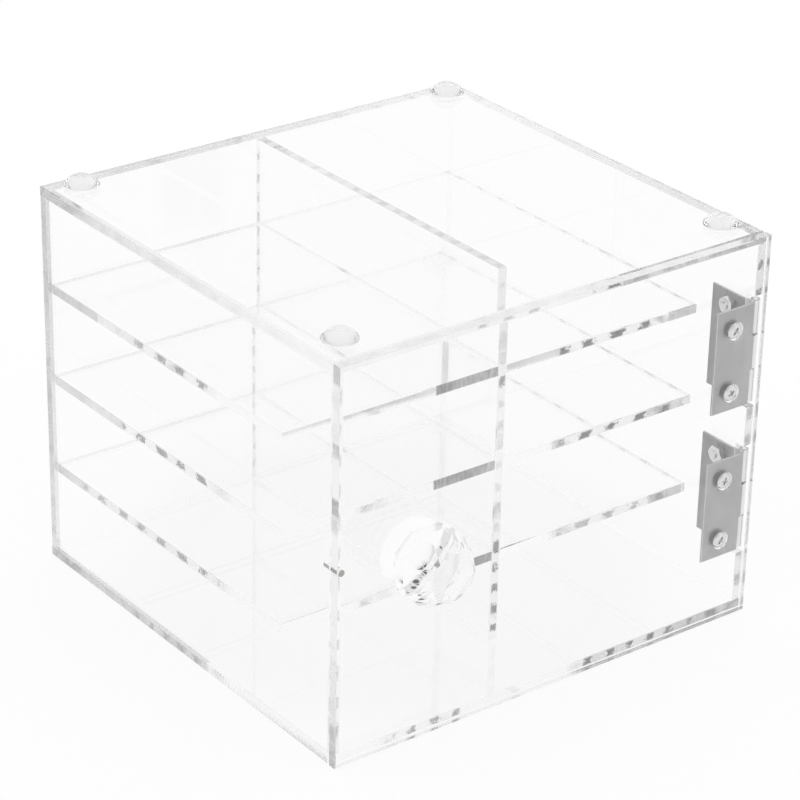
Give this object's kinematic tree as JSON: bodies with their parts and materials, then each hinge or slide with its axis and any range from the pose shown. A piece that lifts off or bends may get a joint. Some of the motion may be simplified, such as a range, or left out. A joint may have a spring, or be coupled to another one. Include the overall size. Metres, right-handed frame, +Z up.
{
  "type": "eyelash storage box",
  "caption": "Clear acrylic sheet box with shelved compartments each side of a divider, behind a hinged front door with a faceted knob, magnet catch and steel butt hinges.",
  "frame": {"origin": "centre of the carcass underside, on the surface that it stands on", "axes": "+Z up, the door faces -Y, the hinges are on the +X side"},
  "size_m": [0.1508, 0.1651, 0.1242],
  "materials": {
    "clear_acrylic": "clear, polished cast sheet with sawn edges",
    "clear_crystal": "clear, polished facets",
    "clear_pad": "clear soft polyurethane, satin",
    "hinge_steel": "satin stamped sheet",
    "screw_steel": "bright zinc plated",
    "nickel_plate": "bright nickel plated"
  },
  "bodies": {
    "cabinet": {"back_panel": "clear_acrylic", "bottom_panel": "clear_acrylic", "bumpers": "clear_pad", "centre_divider": "clear_acrylic", "left_shelf_1": "clear_acrylic", "left_shelf_2": "clear_acrylic", "left_shelf_3": "clear_acrylic", "left_wall": "clear_acrylic", "lower_hinge_pin": "screw_steel", "lower_hinge_wall_leaf": "hinge_steel", "right_shelf_1": "clear_acrylic", "right_shelf_2": "clear_acrylic", "right_shelf_3": "clear_acrylic", "right_wall": "clear_acrylic", "top_panel": "clear_acrylic", "upper_hinge_pin": "screw_steel", "upper_hinge_wall_leaf": "hinge_steel", "wall_magnet": "nickel_plate", "wall_nuts": "screw_steel", "wall_screws": "screw_steel"},
    "door": {"door": "clear_acrylic", "door_magnet": "nickel_plate", "door_nuts": "screw_steel", "door_screws": "screw_steel", "knob": "clear_crystal", "lower_hinge_door_leaf": "hinge_steel", "upper_hinge_door_leaf": "hinge_steel"}
  },
  "joints": [
    {"name": "door_swing", "type": "hinge", "parent": "cabinet", "child": "door", "pos_m": [0.0738, -0.06985, 0.0605], "axis": [0, 0, 1], "range_deg": [0, 110]}
  ]
}
